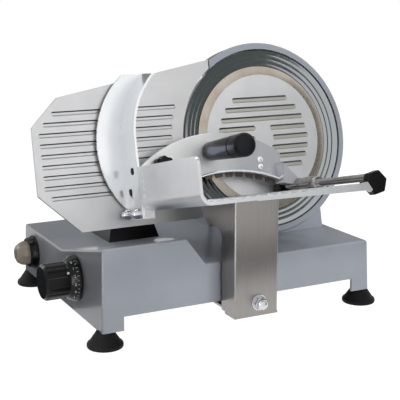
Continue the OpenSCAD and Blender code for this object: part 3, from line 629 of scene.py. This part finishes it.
def blade():
    """The hollow-ground blade: three dished bands, each turned up to the next, inside the bevel."""
    bands = [(103, -5.2), (109.3, -3.8), (115.7, -2.4), (122, -1)]
    profile = [(20, -7), (96, -7), (99, -5.7)]
    for (inner, low), (outer, high) in zip(bands, bands[1:]):
        for share in (k / 6 for k in range(6)):
            rise = share * (0.25 + 0.75 * share)
            profile.append((inner + (outer - inner) * share, low + (high - low) * rise))
    profile += [(122, -1), (125, 0), (121, -2.4), (112, -6.5), (104, -9), (98, -12), (20, -12), (20, -7)]
    piece("slicing_blade_ground", turned(profile, 192), BLADE, BLADE_STEEL, "slicing_blade", crease=12)


COVER_FACE_RADIUS = 90


def cover_disc():
    """The grooved disc in front of the blade: a satin face, and a buffed rim that slopes back."""
    bm = carried("blade_cover", BLADE)
    spans = sloped_grooves(bm, floor=-2.2, depth=-3.0, widen=1.0, upper_flank=2.2)
    edge = COVER_FACE_RADIUS - 1
    soften(bm, 0.6, 2, lambda a, b: max(a.xy.length, b.xy.length) < edge and min(a.z, b.z) > -1.1)
    made = piece("blade_cover_disc", bm, BLADE, COVER_FACE, "blade_cover", crease=24)
    finish_grooves(made, spans, top=-1.4, depth=-3.0, floor_finish=CHANNEL_FLOOR_PAINTED_SHADE)
    refinish(made, COVER_RIM, lambda middle, normal: middle.xy.length > COVER_FACE_RADIUS)


# The carriage: arm, tray and hand guard


def stainless_arm():
    """The folded stainless arm, with the bend's radius on its two front corners."""
    bm = carried("carriage_arm", BASE)
    soften(bm, 2.4, 4, lambda a, b: max(a.y, b.y) < -39.5 and abs(a.z - b.z) > 60)
    soften(bm, 0.5, 2, lambda a, b: (a - b).length > 2)
    piece("stainless_arm", bm, BASE, STAINLESS, "carriage_arm")


def tray():
    """The ribbed tray with its turned-up wall and a bright rim along the front."""
    bm = carried("product_tray", BLADE)
    soften(bm, 0.6, 2, lambda a, b: (a - b).length > 0.8)
    piece("ribbed_tray", bm, BLADE, TRAY, "product_tray")


GUARD_X = -223


def guard():
    """The curved hand guard: a broad flange with a band, in polished sheet, its screws and slot plugs."""
    bm = carried("hand_guard", BLADE)
    soften(bm, 0.7, 2, lambda a, b: (a - b).length > 2.5)
    soften(bm, 1.0, 1, lambda a, b: 7.5 < a.z < 8.5 and 7.5 < b.z < 8.5, hollow=True)
    made = piece("curved_hand_guard", bm, BLADE, POLISHED, "hand_guard")

    # The rounded inner corner between flange and band takes darker zinc steel as a painted shade line
    def in_seam(middle, normal):
        return 7.9 < middle.z < 9.1 and 0.4 < normal.dot(out_of_blade) < 0.9

    refinish(made, STEEL, in_seam)
    plug = bmesh.new()
    bmesh.ops.create_cube(plug, size=1)
    bmesh.ops.scale(plug, vec=(8, 9, 1.6), verts=plug.verts)
    soften(plug, 3.4, 6, lambda a, b: abs(a.z - b.z) > 1)
    soften(plug, 0.4, 2, lambda a, b: a.z > 0 and b.z > 0)
    places = [move(GUARD_X, u, n) @ FACING_LEFT for u, n in ((-31.5, 36.5), (-58, 24))]
    piece("guard_slot_plugs", repeated(plug, places), BLADE, RUBBER, body="carriage", slot="black_rubber")
    dome = [(0, 10), (3.2, 9.4), (5.5, 7.4), (6.6, 4.6), (6.8, 2), (6.8, 0)]
    head = turned(dome + [(2, 0), (2, -14), (0, -14)], 48)
    places = [move(GUARD_X, -86, n) @ FACING_LEFT for n in (9, 43)]
    piece("guard_dome_screws", repeated(head, places), BLADE, CHROME, "guard_screws")


def lock_nut():
    """The acorn nut with its washer, which locks the arm to its foot."""
    washer = turned([(4.95, 0), (10.5, 0), (10.5, 1.6), (4.95, 1.6), (4.95, 0)], 64, 0.3)
    place = BASE @ move(196, -40, 43) @ FACING_FRONT
    piece("lock_washer", washer, place, CHROME, body="carriage", slot="chromed_steel")
    nut = turned([(0, 1.6), (9.2, 1.6), (9.2, 8.6), (0, 8.6)], 6)
    soften(nut, 0.9, 3)
    dome = turned([(0, 16.2), (2.4, 15.8), (4.6, 14.6), (6.4, 12.6), (7.3, 10.4), (7.6, 8.3), (0, 8.3)], 48)
    stem = turned([(0, 1.7), (4.95, 1.7), (4.95, -22), (0, -22)], 32)
    for extra in (dome, stem):
        shape = bpy.data.meshes.new("shape")
        extra.to_mesh(shape)
        extra.free()
        nut.from_mesh(shape)
        bpy.data.meshes.remove(shape)
    piece("acorn_nut", nut, place, CHROME, "arm_nut")


# The pusher: casting, comb, grip, hub and rod


def pusher():
    """The arched pusher casting, its lip worn bright, with its toothed comb, two screws and a knob."""
    bm = carried("pusher_plate", BLADE)
    soften(bm, 1.2, 3, lambda a, b: (a - b).length > 2)
    made = piece("arched_pusher_plate", bm, BLADE, CASTING, "pusher_plate")
    refinish(made, POLISHED, lambda middle, normal: 33 < middle.z < 36.5 and middle.x < -2)
    comb = carried("pusher_comb", BLADE)
    soften(comb, 0.4, 1, lambda a, b: (a - b).length > 2)
    piece("toothed_comb", comb, BLADE, COMB, "pusher_comb")
    head = turned([(0, 2.6), (2.4, 2.4), (4.1, 1.5), (4.7, 0.4), (4.7, 0), (2, 0), (2, -9), (0, -9)], 40)
    places = [move(-28, u, 28) for u in (-31, -41)]
    piece("pusher_round_screws", repeated(head, places), BLADE, POLISHED, "pusher_screws")
    knob = carried("comb_knob", BLADE)
    soften(knob, 1.2, 3, lambda a, b: (a - b).length > 0.3, sharper=50)
    piece("lobed_comb_knob", knob, BLADE, BLACK, "comb_knob", crease=40)


def grip():
    """The black grip: a plain taper with a groove before its end cap."""
    taper = [(0, 0), (9, 0), (11.4, 1.6), (12.8, 6), (15.0, 72)]
    groove = [(14.9, 73.2), (14.1, 74), (14.1, 75.2), (15, 76)]
    cap = [(15.2, 77.5), (15.6, 95), (15.2, 98), (13.6, 100.2), (11, 101), (0, 101)]
    place = BLADE @ move(-103.5, -14, 28)
    piece("pusher_grip_moulded", turned(taper + groove + cap, 96), place, GRIP, "pusher_grip", crease=40)


ROD = BLADE @ move(19, -72, 0)


def rod_and_hub():
    """The chromed rod, the hub's two barrels, the sleeve's collar and the black block on the rod's end."""
    rod = turned([(0, 5), (4.6, 5), (5, 5.6), (5, 215.4), (4.6, 216), (0, 216)], 64)
    piece("chromed_rod", rod, ROD, CHROME_PAINTED_REFLECTION, "pusher_rod")
    barrels = [(7.6, 21), (8.6, 21), (9.5, 22.4), (10, 28), (10, 47), (9.5, 53.5), (8.6, 55.4), (8.5, 57.5),
               (8.6, 59.6), (9.5, 61.5), (10, 67), (10, 86), (9.5, 91.6), (8.6, 93), (7.6, 93), (7.6, 21)]
    piece("hub_barrels", turned(barrels, 64), ROD, CHROME_PAINTED_REFLECTION, "pusher_hub")
    sleeve = [(5.05, 20.5), (7.4, 20.5), (7.4, 93.6), (9, 93.6), (9, 98), (5.05, 98), (5.05, 20.5)]
    piece("hub_sleeve_turned", turned(sleeve, 64, 0.4), ROD, CHROME, "hub_sleeve")
    block = carried("rod_end_block", BLADE)
    soften(block, 1.4, 3, lambda a, b: (a - b).length > 4)
    piece("rod_end_block_moulded", block, BLADE, BLACK, "rod_end_block")
    support = carried("rod_rear_support", BLADE)
    soften(support, 1.4, 3, lambda a, b: (a - b).length > 4)
    piece("rod_rear_block", support, BLADE, BLACK, "rod_rear_support")


# Feet, back and underside

FOOT_PLACES = [(x, y) for x in (5, 389) for y in (9, 301)]
TOWER_BACK = -83
TOWER_SCREW_R = 53
BASE_LENGTH = 394


def feet():
    """Four flared rubber feet, hollow underneath for their screws."""
    hollow = [(3, 6), (6, 6), (6, 0)]
    flare = [(20.5, 0), (22.3, 0.6), (23, 2), (23, 4.4), (22.1, 6.2), (19.8, 7.8), (12.2, 19), (11, 21)]
    foot = turned(hollow + flare + [(3, 21), (3, 6)], 72)
    places = [move(x, y, 0) for x, y in FOOT_PLACES]
    piece("flared_rubber_feet", repeated(foot, places), BASE, RUBBER, "rubber_feet", crease=50)


def back_fittings():
    """Tower plate, its round-headed screws, the lobed tie knob and the cable gland."""
    plate = carried("motor_plate", BLADE)
    soften(plate, 0.8, 2, lambda a, b: (a - b).length > 2)
    piece("tower_back_plate", plate, BLADE, STEEL, "motor_plate")
    head = turned([(0, 2.9), (1.6, 2.7), (2.8, 1.9), (3.4, 0.6), (3.4, 0), (1.6, 0), (1.6, -6), (0, -6)], 32)
    slant = TOWER_SCREW_R * math.sqrt(0.5)
    spots = [(-slant, slant), (slant, slant), (-TOWER_SCREW_R, -60), (TOWER_SCREW_R, -60)]
    places = [move(x, u, TOWER_BACK) @ TURNED_OVER for x, u in spots]
    piece("tower_round_screws", repeated(head, places), BLADE, STEEL, "housing_screws")
    knob = carried("tie_rod_knob", BLADE)
    soften(knob, 1.4, 3, lambda a, b: (a - b).length > 0.3, sharper=50)
    piece("lobed_tie_knob", knob, BLADE, BLACK, "tie_rod_knob", crease=40)
    gland = carried("cable_gland", BASE)
    soften(gland, 0.9, 2, lambda a, b: (a - b).length > 0.5 and max(a.y, b.y) > 309.9)
    piece("cable_gland_moulded", gland, BASE, BLACK, "cable_gland", crease=40)


def slide_bars():
    """The two ground bars on which the carriage runs."""
    for name, node, radius, y, z in (("guide_bar_ground", "carriage_guide_bar", 9, 40, 60),
                                     ("support_bar_ground", "carriage_support_bar", 5, 14, 70)):
        near = [(0, 0.5), (radius - 0.6, 0.5), (radius, 1.1)]
        far = [(r, BASE_LENGTH - end) for r, end in reversed(near)]
        piece(name, turned(near + far, 64), BASE @ move(BASE_LENGTH, y, z) @ FACING_LEFT, CHROME, node)


for make in (base_casting, ring_guard_casting, motor_hood, gauge_table, column_boot, dial_knob, dial_markings,
             power_switch, blade, cover_disc, stainless_arm, tray, guard, lock_nut, pusher, grip, rod_and_hub,
             feet, back_fittings, slide_bars):
    make()

# Camera, where the photograph was taken from

FOCAL_PX = 955.22
FRAME_PX = 400
CAMERA_FROM_CORNER = Vector((-400.6, -1036.5, 434.7))
CAMERA_DOWN = math.radians(12.57)
CAMERA_ROUND = math.radians(27.21)

camera = bpy.data.objects.new("camera", bpy.data.cameras.new("camera"))
bpy.context.scene.collection.objects.link(camera)
camera.data.sensor_width = 36
camera.data.lens = FOCAL_PX / FRAME_PX * camera.data.sensor_width
camera.location = BASE @ CAMERA_FROM_CORNER
camera.rotation_euler = (math.pi / 2 - CAMERA_DOWN, 0, -CAMERA_ROUND)
bpy.context.scene.camera = camera

# Floor, light and background

FLOOR_SIZE = 6
FLOOR_SHARE = 0.7
FLOOR_GLOW = 1.44
CARD_GREY = "#6e7371"


def seen_background(tree):
    """One for rays that show the background: to the eye, in a reflection or through something clear."""
    path = add(tree, "ShaderNodeLightPath")
    glossy = add(tree, "ShaderNodeMath", {0: path.outputs["Is Camera Ray"], 1: path.outputs["Is Glossy Ray"]},
                 operation="MAXIMUM")
    return add(tree, "ShaderNodeMath", {0: glossy.outputs[0], 1: path.outputs["Is Transmission Ray"]},
               operation="MAXIMUM").outputs[0]


def pale_floor():
    """A pale plain floor that shows white to the eye and keeps a soft shadow."""
    bm = bmesh.new()
    bmesh.ops.create_grid(bm, x_segments=1, y_segments=1, size=FLOOR_SIZE)
    mesh = bpy.data.meshes.new("floor")
    bm.to_mesh(mesh)
    bm.free()
    floor = bpy.data.objects.new("floor", mesh)
    bpy.context.scene.collection.objects.link(floor)
    material = bpy.data.materials.new("pale_studio_floor")
    material.use_nodes = True
    tree = material.node_tree
    tree.nodes.clear()
    seen = seen_background(tree)
    share = add(tree, "ShaderNodeMath", {0: seen, 1: FLOOR_SHARE}, operation="MULTIPLY")
    card = add(tree, "ShaderNodeBsdfDiffuse", {"Color": linear("#d2d2d0")})
    glow = add(tree, "ShaderNodeEmission", {"Color": (1, 1, 1, 1), "Strength": FLOOR_GLOW})
    mix = add(tree, "ShaderNodeMixShader", {"Fac": share.outputs[0]})
    tree.links.new(card.outputs[0], mix.inputs[1])
    tree.links.new(glow.outputs[0], mix.inputs[2])
    add(tree, "ShaderNodeOutputMaterial", {"Surface": mix.outputs[0]})
    mesh.materials.append(material)


def studio_world(level):
    """White all round to the eye, and an even soft light of the given level on the object."""
    world = bpy.data.worlds.new("studio")
    world.use_nodes = True
    bpy.context.scene.world = world
    tree = world.node_tree
    seen = seen_background(tree)
    strength = add(tree, "ShaderNodeMapRange", {"Value": seen, "To Min": level, "To Max": 1.0})
    background = tree.nodes["Background"]
    background.inputs["Color"].default_value = (1, 1, 1, 1)
    tree.links.new(strength.outputs["Result"], background.inputs["Strength"])


def soft_box(name, place, aim, size, power, mirrored=True):
    """A large soft lamp that looks at a point of the object, and may be kept out of mirror reflections."""
    lamp = bpy.data.lights.new(name, "AREA")
    lamp.shape = "RECTANGLE"
    lamp.size, lamp.size_y = size
    lamp.energy = power
    light = bpy.data.objects.new(name, lamp)
    bpy.context.scene.collection.objects.link(light)
    light.visible_glossy = mirrored
    light.location = place
    light.rotation_euler = (Vector(aim) - Vector(place)).to_track_quat("-Z", "Y").to_euler()


def studio_card(name, place, aim, size, tone, turn=0.0, level=1.0):
    """A card, as a studio uses, that shows only in reflections: a dark band or a light one in bare metal."""
    bm = bmesh.new()
    bmesh.ops.create_grid(bm, x_segments=1, y_segments=1, size=0.5)
    bmesh.ops.scale(bm, vec=(size[0], size[1], 1), verts=bm.verts)
    facing = (Vector(aim) - Vector(place)).to_track_quat("Z", "Y").to_matrix().to_4x4()
    bm.transform(Matrix.Translation(place) @ facing @ Matrix.Rotation(math.radians(turn), 4, "Z"))
    mesh = bpy.data.meshes.new(name)
    bm.to_mesh(mesh)
    bm.free()
    card = bpy.data.objects.new(name, mesh)
    bpy.context.scene.collection.objects.link(card)
    material = bpy.data.materials.new(name)
    material.use_nodes = True
    tree = material.node_tree
    tree.nodes.clear()
    felt = add(tree, "ShaderNodeEmission", {"Color": linear(tone), "Strength": level})
    back = add(tree, "ShaderNodeBsdfTransparent")
    side = add(tree, "ShaderNodeNewGeometry")
    mix = add(tree, "ShaderNodeMixShader", {"Fac": side.outputs["Backfacing"]})
    tree.links.new(felt.outputs[0], mix.inputs[1])
    tree.links.new(back.outputs[0], mix.inputs[2])
    add(tree, "ShaderNodeOutputMaterial", {"Surface": mix.outputs[0]})
    mesh.materials.append(material)
    card.visible_camera = False
    card.visible_diffuse = False
    card.visible_transmission = False
    card.visible_shadow = False


pale_floor()
studio_world(0.05)
soft_box("key_light", (0.3, -2.0, 1.2), (0, 0, 0.15), (1.2, 1.2), 39, mirrored=False)
soft_box("fill_light", (-0.5, 0.5, 0.35), (-0.2, 0.2, 0.05), (0.25, 0.25), 0.7)
soft_box("top_light", (0.1, 0.35, 1.9), (0, 0, 0.15), (1.6, 0.5), 10)

# What metal and gloss mirror: dark cards for the darker bands, light ones on the grip and the base's edge
studio_card("standing_card", (1.35, -1.62, 0.30), (0.1, 0.02, 0.30), (0.85, 0.62), CARD_GREY)
studio_card("tall_card", (0.54, -0.455, 0.275), (0.0, 0.0, 0.275), (0.36, 0.55), CARD_GREY)
studio_card("near_card", (0.22, -0.44, 0.004), (0.22, -0.44, 1), (0.7, 0.18), "#484b4d")
studio_card("far_card", (0.68, -1.50, 0.004), (0.68, -1.50, 1), (0.6, 1.7), "#55585a", turn=-25)
studio_card("left_card", (-0.38, 0.24, 0.004), (-0.38, 0.24, 1), (0.36, 0.38), "#3c4042")
studio_card("rear_card", (0.8, 1.6, 0.78), (0.1, 0.0, 0.78), (2.4, 0.9), CARD_GREY)
studio_card("ceiling_card", (0.2, 0.3, 2.3), (0.2, 0.3, 0), (3.2, 2.6), CARD_GREY)
studio_card("plate_card", (-0.8, 1.05, 0.004), (-0.8, 1.05, 1), (0.34, 0.7), "#2a2c2e")
studio_card("grip_card", BLADE @ Vector((-143, -16, 34)), BLADE @ Vector((-143, -16, 99)), (0.044, 0.03),
            "#dfe6ff", level=3.0)
studio_card("edge_card", (-0.36, -0.19, 0.08), (-0.19, -0.10, 0.08), (0.03, 0.16), "#ffffff", level=12.0)

bpy.context.scene.view_settings.view_transform = "Standard"
